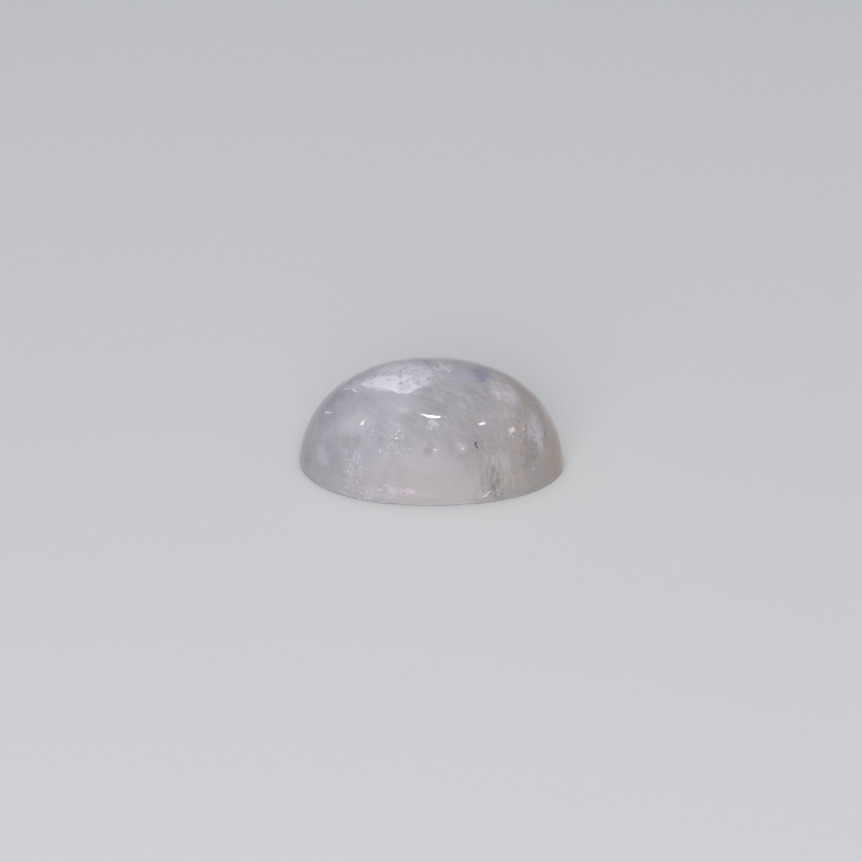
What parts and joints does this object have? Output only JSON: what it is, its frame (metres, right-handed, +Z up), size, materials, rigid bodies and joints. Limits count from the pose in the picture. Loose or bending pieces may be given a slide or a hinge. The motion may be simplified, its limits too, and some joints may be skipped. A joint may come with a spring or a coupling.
{
  "type": "moonstone cabochon",
  "caption": "Oval domed cabochon of translucent milky moonstone, polished dome over a flat ground base, for a bezel setting or for display.",
  "frame": {"origin": "middle of the flat base, which the stone rests on", "axes": "+X along the stone's length towards its narrower end, +Y across its width, +Z up through the crown of the dome"},
  "size_m": [0.02, 0.015, 0.0078],
  "materials": {
    "moonstone": "high polish on the dome, fine ground base; translucent milky lavender-grey feldspar with white cleavage veils, a blue sheen and dark specks"
  },
  "bodies": {
    "root": {"moonstone": "moonstone"}
  },
  "joints": []
}
